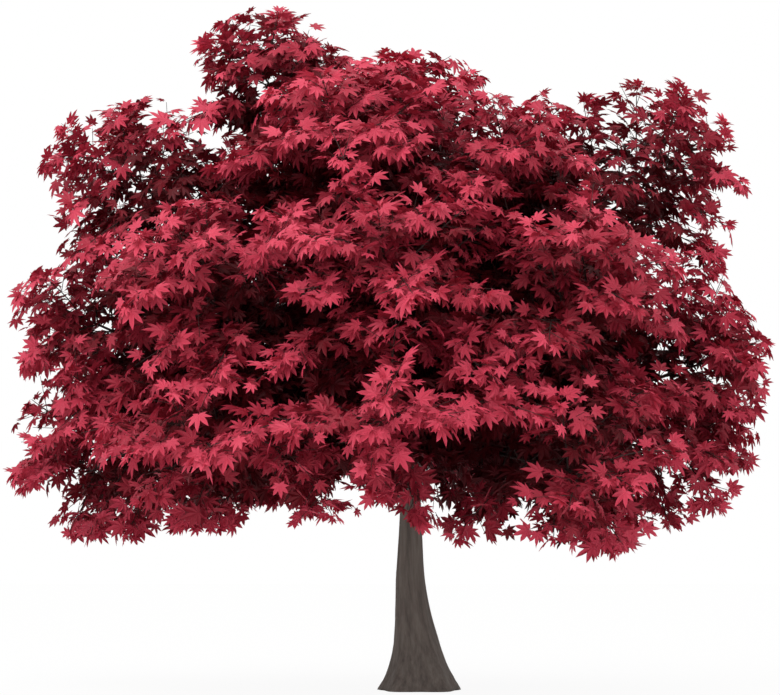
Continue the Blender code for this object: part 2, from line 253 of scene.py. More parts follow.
def makeGrainGroup():
    # Streaks and fine grain from a place on the surface: a mask for colour, and a height for a bump.
    group = bpy.data.node_groups.new("grain", "ShaderNodeTree")
    addSockets(group, "INPUT", {"Place": "Vector", "Fineness": "Float"})
    addSockets(group, "OUTPUT", {"Streaks": "Float", "Height": "Float"})
    given = newNode(group, "NodeGroupInput")
    result = newNode(group, "NodeGroupOutput")
    broad = newNode(group, "ShaderNodeTexNoise", {"Detail": grainSet["broadDetail"]})
    fineNoise = {"Detail": grainSet["fineDetail"], "Roughness": grainSet["fineRoughness"]}
    fine = newNode(group, "ShaderNodeTexNoise", fineNoise)
    finer = newNode(group, "ShaderNodeMath", {1: grainSet["fineScale"]}, operation="MULTIPLY")
    both = newNode(group, "ShaderNodeMix", {"Factor": grainSet["fineShare"]})
    join = group.links.new
    join(given.outputs["Place"], broad.inputs["Vector"])
    join(given.outputs["Place"], fine.inputs["Vector"])
    join(given.outputs["Fineness"], broad.inputs["Scale"])
    join(given.outputs["Fineness"], finer.inputs[0])
    join(finer.outputs["Value"], fine.inputs["Scale"])
    join(broad.outputs["Fac"], both.inputs["A"])
    join(fine.outputs["Fac"], both.inputs["B"])
    join(both.outputs["Result"], result.inputs["Streaks"])
    join(fine.outputs["Fac"], result.inputs["Height"])
    return group


def addBump(tree, shader, height, look, depth):
    bump = newNode(tree, "ShaderNodeBump", {"Strength": look["relief"], "Distance": depth})
    tree.links.new(height, bump.inputs["Height"])
    tree.links.new(bump.outputs["Normal"], shader.inputs["Normal"])


def addRoughness(tree, shader, mask, look):
    low, high = look["roughness"]
    spread = newNode(tree, "ShaderNodeMapRange", {"To Min": low, "To Max": high})
    tree.links.new(mask, spread.inputs["Value"])
    tree.links.new(spread.outputs["Result"], shader.inputs["Roughness"])


def makeWoodMaterial(name, look, grainGroup, attribute=None):
    # Its streaks follow an attribute of the mesh where one is named, and the object's space otherwise.
    material, tree, shader = newMaterial(name, {"Specular IOR Level": woodLook["specular"]})
    if attribute:
        place = newNode(tree, "ShaderNodeAttribute", attribute_name=attribute).outputs["Vector"]
    else:
        place = newNode(tree, "ShaderNodeTexCoord").outputs["Object"]
    grain = newNode(tree, "ShaderNodeGroup", {"Fineness": look["streaks"]}, node_tree=grainGroup)
    ramp = newNode(tree, "ShaderNodeValToRGB")
    ends = ramp.color_ramp.elements
    ends[0].position, ends[1].position = woodLook["ramp"]
    ends[0].color, ends[1].color = look["dark"], look["light"]
    tree.links.new(place, grain.inputs["Place"])
    tree.links.new(grain.outputs["Streaks"], ramp.inputs["Fac"])
    tree.links.new(ramp.outputs["Color"], shader.inputs["Base Color"])
    addRoughness(tree, shader, grain.outputs["Streaks"], look)
    addBump(tree, shader, grain.outputs["Height"], look, woodLook["reliefDepth"])
    return material


def makeLeafMaterial(name, colour):
    values = {"Base Color": colour, "Specular IOR Level": leafLook["specular"]}
    material, tree, shader = newMaterial(name, values)
    wrinkles = newNode(tree, "ShaderNodeTexNoise", {"Scale": leafLook["wrinkles"]})
    place = newNode(tree, "ShaderNodeTexCoord")
    tree.links.new(place.outputs["Object"], wrinkles.inputs["Vector"])
    addRoughness(tree, shader, wrinkles.outputs["Fac"], leafLook)
    addBump(tree, shader, wrinkles.outputs["Fac"], leafLook, leafLook["reliefDepth"])
    return material


# The room that each mass of foliage keeps to, and the boughs that carry the masses: the solids' rule.

# The middle of each mass, and its half width, half depth and half height.
masses = {
    "low_left": ((-1.35, 0.02, 1.00), (0.46, 0.47, 0.40)),
    "low_front_left": ((-0.83, -0.80, 1.02), (0.50, 0.47, 0.38)),
    "low_front": ((-0.14, -1.12, 1.10), (0.50, 0.45, 0.35)),
    "low_front_right": ((0.56, -0.84, 0.93), (0.55, 0.47, 0.40)),
    "low_right": ((1.02, 0.00, 1.04), (0.46, 0.47, 0.39)),
    "low_back_right": ((0.62, 0.86, 1.10), (0.50, 0.47, 0.38)),
    "low_back": ((-0.14, 1.14, 1.17), (0.50, 0.45, 0.36)),
    "low_back_left": ((-0.88, 0.84, 1.12), (0.50, 0.47, 0.38)),
    "mid_left": ((-1.35, -0.06, 1.56), (0.45, 0.47, 0.38)),
    "mid_front_left": ((-0.86, -0.70, 1.62), (0.48, 0.47, 0.43)),
    "mid_front": ((-0.14, -0.98, 1.68), (0.51, 0.47, 0.43)),
    "mid_front_right": ((0.60, -0.74, 1.60), (0.51, 0.47, 0.43)),
    "mid_right": ((1.11, -0.02, 1.37), (0.45, 0.47, 0.41)),
    "mid_back_right": ((0.66, 0.76, 1.62), (0.51, 0.47, 0.43)),
    "mid_back": ((-0.14, 1.00, 1.68), (0.51, 0.47, 0.43)),
    "mid_back_left": ((-0.88, 0.72, 1.64), (0.48, 0.47, 0.43)),
    "top_left": ((-1.24, 0.06, 2.22), (0.45, 0.43, 0.39)),
    "top_right": ((0.98, 0.05, 2.19), (0.47, 0.47, 0.54)),
    "upper_front": ((-0.30, -0.56, 2.22), (0.57, 0.47, 0.41)),
    "upper_front_right": ((0.30, -0.42, 2.13), (0.46, 0.47, 0.46)),
    "upper_back": ((-0.35, 0.58, 2.20), (0.57, 0.47, 0.43)),
    "upper_back_right": ((0.36, 0.50, 2.12), (0.46, 0.47, 0.46)),
    "top_centre": ((-0.11, 0.02, 2.45), (0.53, 0.47, 0.36)),
    "spire_left": ((-0.62, 0.02, 2.58), (0.34, 0.36, 0.44)),
}
massMargin = 0.004  # from either of two masses to the wall between them

# The leaves' faces turn away from this point, and each leaf's depth, which sets its painted shade, is
# measured along the way from it.
crownHeart = Vector((-0.10, 0, 1.35))

trunkSet = {
    "height": 1.05,
    "shaftRadius": 0.0775,
    "shaftTaper": 0.042,
    "flareRadius": 0.0965,
    "flareHeight": 0.16,
    "flutes": 5,
    "fluteDepth": 0.16,
    "lean": -0.038,
    "leanHeight": 0.52,
    "rings": 84,
    "sides": 72,
}

# The limb that each bough leaves, at what share of that limb's length, and the mass it carries.
boughs = {
    "leader": ("trunk", 0.98, "top_centre"),
    "bough_mid_left": ("trunk", 0.90, "mid_left"),
    "bough_mid_front_left": ("trunk", 0.82, "mid_front_left"),
    "bough_mid_front": ("trunk", 0.93, "mid_front"),
    "bough_mid_front_right": ("trunk", 0.85, "mid_front_right"),
    "bough_mid_right": ("trunk", 0.91, "mid_right"),
    "bough_mid_back_right": ("trunk", 0.83, "mid_back_right"),
    "bough_mid_back": ("trunk", 0.92, "mid_back"),
    "bough_mid_back_left": ("trunk", 0.84, "mid_back_left"),
    "bough_low_left": ("bough_mid_left", 0.34, "low_left"),
    "bough_low_front_left": ("bough_mid_front_left", 0.34, "low_front_left"),
    "bough_low_front": ("bough_mid_front", 0.34, "low_front"),
    "bough_low_front_right": ("bough_mid_front_right", 0.30, "low_front_right"),
    "bough_low_right": ("bough_mid_right", 0.36, "low_right"),
    "bough_low_back_right": ("bough_mid_back_right", 0.34, "low_back_right"),
    "bough_low_back": ("bough_mid_back", 0.34, "low_back"),
    "bough_low_back_left": ("bough_mid_back_left", 0.34, "low_back_left"),
    "bough_top_left": ("leader", 0.22, "top_left"),
    "bough_top_right": ("leader", 0.30, "top_right"),
    "bough_upper_back": ("leader", 0.40, "upper_back"),
    "bough_upper_front": ("leader", 0.46, "upper_front"),
    "bough_upper_back_right": ("leader", 0.54, "upper_back_right"),
    "bough_upper_front_right": ("leader", 0.58, "upper_front_right"),
    "bough_spire_left": ("leader", 0.66, "spire_left"),
}

boughSet = {
    "leaderRadius": 0.031,
    "footShare": 0.56,  # a bough's radius at its foot, as a share of its parent's there
    "tipRadius": 0.0085,
    "taperPower": 0.8,
    "bow": 0.42,  # how far a bough holds its first and last headings, as a share of its span
    "rise": 0.7,  # how strongly its first heading follows its parent's
    "points": 25,
    "sides": 14,
}


class Space:
    # A rounded outside, cut by flat walls against the neighbours.

    def __init__(self, middle, size):
        self.middle = Vector(middle)
        self.size = size
        self.walls = []

    def reach(self, way):
        # How far the rounded outside is from the middle.
        return 1 / math.sqrt(sum((a / s) ** 2 for a, s in zip(way, self.size)))

    def addWall(self, other):
        between = other.middle - self.middle
        way = between.normalized()
        own, theirs = self.reach(way), other.reach(-way)
        at = between.length * own / (own + theirs) - massMargin
        self.walls.append((self.middle + way * at, way))

    def room(self, start, way, swell=1, overlap=0):
        # How far a straight line runs before it leaves the space. Swell widens its rounded outside, and
        # overlap is how far the line may pass the walls.
        place = Vector([(a - m) / s for a, m, s in zip(start, self.middle, self.size)])
        step = Vector([a / s for a, s in zip(way, self.size)])
        along = place.dot(step)
        square = step.length_squared
        root = max(along**2 - square * (place.length_squared - swell**2), 0)
        far = (math.sqrt(root) - along) / square
        for spot, out in self.walls:
            closing = way.dot(out)
            if closing > 0:
                far = min(far, ((spot - start).dot(out) + overlap) / closing)
        return max(far, 0)


crownSet = {
    # Rounded rooms between the masses that leaves may grow into, as middles and half sizes: the inside
    # of the crown, its two flanks, the left shoulder, the right one and the foot of the spire.
    "between": (
        ((-0.10, 0.00, 1.52), (0.95, 0.90, 0.70)),
        ((0.92, 0.00, 1.80), (0.42, 0.42, 0.28)),
        ((-1.12, 0.00, 1.89), (0.44, 0.42, 0.28)),
        ((-0.80, 0.00, 2.04), (0.30, 0.40, 0.28)),
        ((0.44, 0.00, 2.40), (0.26, 0.32, 0.24)),
        ((-0.84, 0.00, 2.76), (0.16, 0.20, 0.18)),
    ),
    "ringRoom": (0.36, 0.40, 0.31),  # the half size of the room between two neighbours of a ring
    "ringDrop": 0.10,  # and how far it hangs below their middles
    "blend": 5,  # how tightly the outside follows each mass; less fills the grooves between them
    "proud": 0.02,  # how far a leaf's tip may stand out of the whole tree's box
    "step": 0.02,
    "furthest": 0.9,
}


def ringRooms():
    # The rooms in the grooves of the low and middle rings, between each mass and the next.
    rooms = []
    for ring in ("low_", "mid_"):
        middles = [Vector(middle) for name, (middle, _) in masses.items() if name.startswith(ring)]
        for one, other in zip(middles, middles[1:] + middles[:1]):
            rooms.append(((one + other) / 2 - up * crownSet["ringDrop"], crownSet["ringRoom"]))
    return rooms


class Crown:
    # The outside of all masses together, with the grooves between them filled.

    def __init__(self):
        parts = [*masses.values(), *crownSet["between"], *ringRooms()]
        self.middles = np.array([middle for middle, _ in parts])
        self.sizes = np.array([size for _, size in parts])
        self.steps = np.arange(0, crownSet["furthest"], crownSet["step"])
        self.low = np.array(cadBox[0]) - crownSet["proud"]
        self.high = np.array(cadBox[1]) + crownSet["proud"]

    def fill(self, points):
        # At least 1 inside the crown, for each of an array of points.
        levels = (((points[:, None] - self.middles) / self.sizes) ** 2).sum(axis=2)
        within = ((points > self.low) & (points < self.high)).all(axis=1)
        return np.exp(crownSet["blend"] * (1 - levels)).sum(axis=1) * within

    def holds(self, point):
        return self.fill(np.array(point)[None])[0] >= 1

    def room(self, start, way):
        # How far a straight line runs before it comes out of the crown.
        outside = self.fill(np.array(start) + self.steps[:, None] * np.array(way)) < 1
        return self.steps[outside.argmax()] if outside.any() else crownSet["furthest"]


def makeSpaces():
    spaces = {name: Space(*values) for name, values in masses.items()}
    for space in spaces.values():
        for other in spaces.values():
            if other is not space:
                space.addWall(other)
    return spaces


class Limb:
    # Evenly spaced points of a centre line, and the radius at each.

    def __init__(self, line, radii):
        self.line = line
        self.radii = radii

    def at(self, share):
        place = share * (len(self.line) - 1)
        i = min(int(place), len(self.line) - 2)
        part = place - i
        a, b = self.line[i], self.line[i + 1]
        return a.lerp(b, part), (b - a).normalized(), self.radii[i] * (1 - part) + self.radii[i + 1] * part


def trunkMiddle(height):
    # The trunk eases over to its lean, and stands upright above it.
    share = min(height / trunkSet["leanHeight"], 1)
    return Vector((trunkSet["lean"] * share * share * (3 - 2 * share), 0, height))


def trunkRadius(height, turn=None):
    shaft = trunkSet["shaftRadius"] - trunkSet["shaftTaper"] * height
    flare = trunkSet["flareRadius"] * math.exp(-height / trunkSet["flareHeight"])
    flutes = 0 if turn is None else trunkSet["fluteDepth"] * math.sin(trunkSet["flutes"] * turn)
    return shaft + flare * (1 + flutes)


def trunkLimb():
    heights = [trunkSet["height"] * i / (boughSet["points"] - 1) for i in range(boughSet["points"])]
    return Limb([trunkMiddle(h) for h in heights], [trunkRadius(h) for h in heights])


def boughLimb(name, limbs, spaces):
    parent, share, mass = boughs[name]
    start, parentHeading, parentRadius = limbs[parent].at(share)
    space = spaces[mass]
    inward = (start - space.middle).normalized()
    end = space.middle + inward * space.room(space.middle, inward)
    first = ((end - start).normalized() + boughSet["rise"] * parentHeading).normalized()
    pull = (end - start).length * boughSet["bow"]
    a, b, c, d = start, start + first * pull, end + inward * pull, end
    foot = boughSet["leaderRadius"] if name == "leader" else parentRadius * boughSet["footShare"]
    tip = boughSet["tipRadius"]
    line, radii = [], []
    for i in range(boughSet["points"]):
        t = i / (boughSet["points"] - 1)
        s = 1 - t
        line.append(a * s**3 + b * 3 * t * s**2 + c * 3 * t**2 * s + d * t**3)
        radii.append(tip + (foot - tip) * s ** boughSet["taperPower"])
    return Limb(line, radii)


def makeLimbs(spaces):
    limbs = {"trunk": trunkLimb()}
    for name in boughs:
        limbs[name] = boughLimb(name, limbs, spaces)
    return limbs


# Meshes from lines: one node tree gives boughs, stems and twigs their round sections.


def keepAtPoints(mesh, name, kind, values):
    # An attribute of a mesh's points. Vectors are given as one flat list.
    field = "vector" if kind == "FLOAT_VECTOR" else "value"
    mesh.attributes.new(name, kind, "POINT").data.foreach_set(field, values)


def lineMesh(name, lines):
    # Loose edges along each line, with the radius kept at each point.
    points, edges, radii = [], [], []
    for line, widths in lines:
        first = len(points)
        points += line
        radii += widths
        edges += [(first + i, first + i + 1) for i in range(len(line) - 1)]
    mesh = bpy.data.meshes.new(name)
    mesh.from_pydata(points, edges, [])
    keepAtPoints(mesh, "thickness", "FLOAT", radii)
    return mesh


def makeTubeTree():
    tree = bpy.data.node_groups.new("roundWood", "GeometryNodeTree")
    addSockets(tree, "INPUT", {"Lines": "Geometry", "Sides": "Int", "Wood": "Material"})
    addSockets(tree, "OUTPUT", {"Tubes": "Geometry"})
    given = newNode(tree, "NodeGroupInput")
    result = newNode(tree, "NodeGroupOutput")
    curve = newNode(tree, "GeometryNodeMeshToCurve")
    ring = newNode(tree, "GeometryNodeCurvePrimitiveCircle", {"Radius": 1.0})
    width = newNode(tree, "GeometryNodeInputNamedAttribute", {"Name": "thickness"}, data_type="FLOAT")
    sweep = newNode(tree, "GeometryNodeCurveToMesh", {"Fill Caps": True})
    smooth = newNode(tree, "GeometryNodeSetShadeSmooth")
    real = newNode(tree, "GeometryNodeRealizeInstances")
    paint = newNode(tree, "GeometryNodeSetMaterial")
    join = tree.links.new
    join(given.outputs["Lines"], curve.inputs["Mesh"])
    join(given.outputs["Sides"], ring.inputs["Resolution"])
    join(curve.outputs["Curve"], sweep.inputs["Curve"])
    join(ring.outputs["Curve"], sweep.inputs["Profile Curve"])
    join(width.outputs["Attribute"], sweep.inputs["Scale"])
    join(sweep.outputs["Mesh"], smooth.inputs["Geometry"])
    join(smooth.outputs["Geometry"], real.inputs["Geometry"])
    join(real.outputs["Geometry"], paint.inputs["Geometry"])
    join(given.outputs["Wood"], paint.inputs["Material"])
    join(paint.outputs["Geometry"], result.inputs["Tubes"])
    return tree


def runTree(mesh, tree, values):
    # The plain mesh that a node tree makes of a mesh. Values are given by input name.
    carrier = bpy.data.objects.new(mesh.name, mesh)
    bpy.context.scene.collection.objects.link(carrier)
    modifier = carrier.modifiers.new(tree.name, "NODES")
    modifier.node_group = tree
    for socket in tree.interface.items_tree:
        if socket.in_out == "INPUT" and socket.name in values:
            modifier[socket.identifier] = values[socket.name]
    made = evaluatedMesh(carrier)
    bpy.data.objects.remove(carrier)
    return made


def evaluatedMesh(item):
    # A plain mesh of what an object's modifiers make of it.
    bpy.context.view_layer.update()
    graph = bpy.context.evaluated_depsgraph_get()
    return bpy.data.meshes.new_from_object(item.evaluated_get(graph))


def newPiece(name, mesh):
    mesh.name = name
    piece = bpy.data.objects.new(name, mesh)
    bpy.context.scene.collection.objects.link(piece)
    return piece


def joinedMesh(meshes):
    # One mesh of several, with the materials of the first.
    shape = bmesh.new()
    for mesh in meshes:
        shape.from_mesh(mesh)
    made = bpy.data.meshes.new("joined")
    shape.to_mesh(made)
    shape.free()
    for material in meshes[0].materials:
        made.materials.append(material)
    return made


# Bark: the trunk and all boughs as one skin with its relief.

barkSet = {
    "voxel": 0.007,
    "softening": 5,  # rounds of smoothing
    "softenFactor": 0.5,
    "alongStretch": 0.07,  # how much slower the relief changes along a limb than round it
    "ridges": (24, 0.0036),  # fineness and height of the broad ridges
    "furrows": (75, 0.0013),  # and of the narrow ones
    "fullRelief": 0.06,  # the radius from which the relief has its full height
    "step": 0.012,  # between the places where a limb's heading is kept
    "apart": 3.0,  # between one limb's distances and the next one's, so that their reliefs differ
    "nearest": 6,  # how many of these places a point on the bark is measured against
    "footLevel": 0.004,  # what lies below this is pressed flat on the ground
}


def trunkShell():
    # The trunk closed at both ends, with its flutes at the foot.
    shape = bmesh.new()
    rings = []
    sides = trunkSet["sides"]
    for j in range(trunkSet["rings"]):
        height = trunkSet["height"] * j / (trunkSet["rings"] - 1)
        middle = trunkMiddle(height)
        ring = []
        for i in range(sides):
            turn = math.tau * i / sides
            out = Vector((math.cos(turn), math.sin(turn), 0))
            ring.append(shape.verts.new(middle + out * trunkRadius(height, turn)))
        rings.append(ring)
    for low, high in zip(rings, rings[1:]):
        for i in range(sides):
            j = (i + 1) % sides
            shape.faces.new((low[i], low[j], high[j], high[i]))
    shape.faces.new(rings[0][::-1])
    shape.faces.new(rings[-1])
    mesh = bpy.data.meshes.new("trunkShell")
    shape.to_mesh(mesh)
    shape.free()
    return mesh


def limbGuides(limbs):
    # Places along all limbs, each with its heading, its distance along the limb and the radius there.
    guides = []
    for number, limb in enumerate(limbs.values()):
        length = sum((b - a).length for a, b in zip(limb.line, limb.line[1:]))
        count = int(length / barkSet["step"])
        for i in range(count + 1):
            place, heading, radius = limb.at(i / count)
            guides.append((place, heading, length * i / count + barkSet["apart"] * number, radius))
    tree = KDTree(len(guides))
    for i, guide in enumerate(guides):
        tree.insert(guide[0], i)
    tree.balance()
    return guides, tree


def makeBark(limbs, guides, guideTree, tubeTree, material):
    lines = [(limb.line, limb.radii) for name, limb in limbs.items() if name != "trunk"]
    values = {"Sides": boughSet["sides"], "Wood": material}
    tubes = runTree(lineMesh("boughTubes", lines), tubeTree, values)
    bark = newPiece("bark", joinedMesh([tubes, trunkShell()]))
    union = bark.modifiers.new("union", "REMESH")
    union.mode = "VOXEL"
    union.voxel_size = barkSet["voxel"]
    soften = bark.modifiers.new("soften", "SMOOTH")
    soften.factor = barkSet["softenFactor"]
    soften.iterations = barkSet["softening"]
    mesh = evaluatedMesh(bark)
    bark.modifiers.clear()
    bark.data = mesh
    places = []
    normals = [vertex.normal.copy() for vertex in mesh.vertices]
    for vertex, normal in zip(mesh.vertices, normals):
        found = [guides[i] for _, i, _ in guideTree.find_n(vertex.co, barkSet["nearest"])]
        middle, heading, along, radius = min(found, key=lambda g: (vertex.co - g[0]).length - g[3])
        offset = vertex.co - middle
        offset -= heading * offset.dot(heading)
        place = offset + heading * along * barkSet["alongStretch"]
        height = 0
        for fineness, tall in (barkSet["ridges"], barkSet["furrows"]):
            height += noise.noise(place * fineness) * tall
        full = min(radius / barkSet["fullRelief"], 1)
        vertex.co += normal * height * full
        if vertex.co.z < barkSet["footLevel"]:
            vertex.co.z = 0
        places.extend(place)
    keepAtPoints(mesh, "barkPlace", "FLOAT_VECTOR", places)
    mesh.shade_smooth()
    mesh.materials.clear()
    mesh.materials.append(material)
    return bark


# Twigs and leaves.

growth = {
    "seed": 200,
    "stemReach": 0.70,  # of the way through the mass
    "stemNodes": (0.06, 0.17, 0.29, 0.41, 0.53, 0.65, 0.77, 0.89),  # where its pairs of shoots stand
    "stemAngles": (92, 44),  # degrees from the stem's heading, at its first and last pairs
    "stemRadii": (0.0082, 0.0040),
    "stemTurn": 24,  # degrees that each pair may be off the square
    "shootStop": 0.08,  # from a shoot's tip to the outside
    "shootShortest": 0.06,
    "shootWander": 12,  # degrees either way
    "shootArch": 0.10,  # how high a level shoot arches, as a share of its length
    "shootRadii": (0.0042, 0.0018),
    "twigStep": 0.063,  # between pairs of twigs
    "twigAngle": 52,
    "twigWander": 16,
    "twigLength": (0.07, 0.17),
    "twigShortest": 0.03,
    "twigStop": 0.05,  # from a twig's tip to the outside
    "twigRadii": (0.0020, 0.0012),
    "shootLeaves": 0.5,  # the chance of a leaf at each side of a shoot's nodes
    "tierTilt": 0.5,  # how far a tier of twigs leans outwards from the level
    "tierSpread": 0.35,  # how far its twigs rise or fall from it
    "swell": 1.45,  # how far past its mass's rounded outside a shoot may go, within the crown
    "overlap": 0.15,  # and past the walls to the next masses
    "boughNodes": (0.34, 0.48, 0.62, 0.76, 0.90),  # where a bough bears shoots before it enters its mass
    "boughShoot": 0.36,  # their longest
    "boughLean": 0.5,  # how far they lean along the bough
}

leafSet = {
    "size": 0.100,
    "variety": (0.62, 1.26),  # the smallest and largest leaves' share of that size
    "facesUp": 0.74,
    "facesOut": 0.58,  # away from the heart of the crown and from the middle of the mass
    "outRise": 0.35,  # how much of the outward way's own rise a leaf's face follows
    "stray": (0.95, 0.95, 0.45),  # how far a leaf's face may stray to either side, along each axis
    "tries": 3,
    "smaller": 0.88,  # how a leaf shrinks from one try to the next
    "spread": 62,  # degrees from the twig's heading to a leaf of a pair
    "wander": 32,
    "droop": (-0.20, 0.85),  # how far the tips of the leaves on a level twig turn down
    "pairs": (0.30, 0.66),  # where a twig bears its pairs of leaves
    "shapes": 6,
    "clearance": 0.02,  # between a leaf's foot and the skin of a bough
    "shadeDepth": 0.60,  # inside the crown's outside, from where all leaves are of the deepest tint: painted shade
    "tintSpread": 1.3,  # how many tints a spray may stray
}

# The share of twigs that a loose mass keeps.
fullness = {"top_right": 0.85, "spire_left": 0.95, "top_left": 0.92}

# One half of a leaf: for each lobe its angle from the tip, its length, and the notch beyond it.
leafLobes = ((0, 0.63), (38, 0.56), (78, 0.46), (120, 0.28))
leafNotches = ((19, 0.29), (58, 0.26), (99, 0.19), (152, 0.09))

leafForm = {
    "stalk": 0.30,  # the stalk's length, as a share of the leaf's size
    "stalkWidth": 0.020,
    "jointRise": 0.03,  # of the blade's foot over the stalk's
    "lobeBelly": 0.5,  # where a lobe's edge bulges, from its notch to its tip
    "bellyWidth": 0.80,  # how wide the lobe is there, as a share of its foot
    "smallLobe": 0.50,  # a lobe shorter than this has straight edges
    "sag": (0.10, 0.42),  # how far the tips hang
    "fold": (0.10, 0.40),  # how steeply a lobe rises from its midrib to its edges
    "unevenness": 0.07,  # of the lobes' lengths
    "mergeWithin": 0.0001,
}


def polar(angle, length):
    return Vector((math.sin(math.radians(angle)) * length, math.cos(math.radians(angle)) * length, 0))


def makeLeafShape(name, seed):
    # Seven lobes, each folded along its midrib. The stalk starts at the origin and runs along +Y.
    rng = random.Random(seed)
    sag = rng.uniform(*leafForm["sag"])
    fold = rng.uniform(*leafForm["fold"])
    shape = bmesh.new()
    joint = Vector((0, leafForm["stalk"], leafForm["jointRise"]))

    def place(flat, rise=0):
        # Sags towards the tips. Rise is what the fold adds.
        drop = sag * flat.length_squared
        return shape.verts.new(joint + flat + up * (rise - drop))

    uneven = leafForm["unevenness"]
    middle = shape.verts.new(joint)
    for side in (-1, 1):
        lobes = [(a * side, r * rng.uniform(1 - uneven, 1 + uneven)) for a, r in leafLobes]
        notches = [(a * side, r * rng.uniform(1 - uneven, 1 + uneven)) for a, r in leafNotches]
        before = None
        for (angle, length), (nextAngle, nextLength) in zip(lobes, notches):
            tip = polar(angle, length)
            after = polar(nextAngle, nextLength)
            tipPoint = place(tip)
            for notch in (before, after):
                if notch is None:
                    continue
                rib = tip.normalized()
                away = notch - rib * notch.dot(rib)
                notchPoint = place(notch, fold * away.length)
                if length < leafForm["smallLobe"]:
                    shape.faces.new((middle, notchPoint, tipPoint))
                    continue
                belly = notch.lerp(tip, leafForm["lobeBelly"])
                belly += away * (leafForm["bellyWidth"] - 1 + leafForm["lobeBelly"])
                bellyPoint = place(belly, fold * (belly - rib * belly.dot(rib)).length)
                shape.faces.new((middle, notchPoint, bellyPoint))
                shape.faces.new((middle, bellyPoint, tipPoint))
            before = after
    half = Vector((leafForm["stalkWidth"] / 2, 0, 0))
    shape.faces.new([shape.verts.new(end) for end in (Vector(), joint + half, joint - half)])
    bmesh.ops.remove_doubles(shape, verts=shape.verts, dist=leafForm["mergeWithin"])
    bmesh.ops.triangulate(shape, faces=shape.faces)
    for face in shape.faces:
        face.normal_update()
        if face.normal.z < 0:
            face.normal_flip()
    mesh = bpy.data.meshes.new(name)
    shape.to_mesh(mesh)
    shape.free()
    return bpy.data.objects.new(name, mesh)


# What each leaf's foot keeps for the leaf tree: the ways that its face and its tip point, its share of
# the full size, and the numbers of its shape and of its tint, which is painted shade.
leafMarks = {"face": "FLOAT_VECTOR", "tip": "FLOAT_VECTOR", "share": "FLOAT", "shape": "INT", "tint": "INT"}


def makeLeafTree(shadeTints):
    # A leaf at each foot, and then each painted-shade tint's material on the leaves that have its number.
    tree = bpy.data.node_groups.new("leavesOnTwigs", "GeometryNodeTree")
    addSockets(tree, "INPUT", {"Feet": "Geometry", "Shapes": "Collection", "Leaf Size": "Float"})
    addSockets(tree, "OUTPUT", {"Leaves": "Geometry"})
    given = newNode(tree, "NodeGroupInput")
    result = newNode(tree, "NodeGroupOutput")
    kept = {
        name: newNode(tree, "GeometryNodeInputNamedAttribute", {"Name": name}, data_type=kind)
        for name, kind in leafMarks.items()
    }
    apart = {"Separate Children": True, "Reset Children": True}
    shapes = newNode(tree, "GeometryNodeCollectionInfo", apart)
    turn = newNode(tree, "FunctionNodeAxesToRotation", primary_axis="Z", secondary_axis="Y")
    size = newNode(tree, "ShaderNodeMath", operation="MULTIPLY")
    place = newNode(tree, "GeometryNodeInstanceOnPoints", {"Pick Instance": True})
    real = newNode(tree, "GeometryNodeRealizeInstances")
    join = tree.links.new
    join(given.outputs["Shapes"], shapes.inputs["Collection"])
    join(kept["face"].outputs["Attribute"], turn.inputs["Primary Axis"])
    join(kept["tip"].outputs["Attribute"], turn.inputs["Secondary Axis"])
    join(kept["share"].outputs["Attribute"], size.inputs[0])
    join(given.outputs["Leaf Size"], size.inputs[1])
    join(given.outputs["Feet"], place.inputs["Points"])
    join(shapes.outputs["Instances"], place.inputs["Instance"])
    join(kept["shape"].outputs["Attribute"], place.inputs["Instance Index"])
    join(turn.outputs["Rotation"], place.inputs["Rotation"])
    join(size.outputs["Value"], place.inputs["Scale"])
    join(place.outputs["Instances"], real.inputs["Geometry"])
    leaves = real.outputs["Geometry"]
    for number, tint in enumerate(shadeTints):
        same = newNode(tree, "FunctionNodeCompare", data_type="INT", operation="EQUAL")
        own, other = [socket for socket in same.inputs if socket.enabled][:2]
        other.default_value = number
        paint = newNode(tree, "GeometryNodeSetMaterial", {"Material": tint})
        join(kept["tint"].outputs["Attribute"], own)
        join(same.outputs["Result"], paint.inputs["Selection"])
        join(leaves, paint.inputs["Geometry"])
        leaves = paint.outputs["Geometry"]
    join(leaves, result.inputs["Leaves"])
    return tree


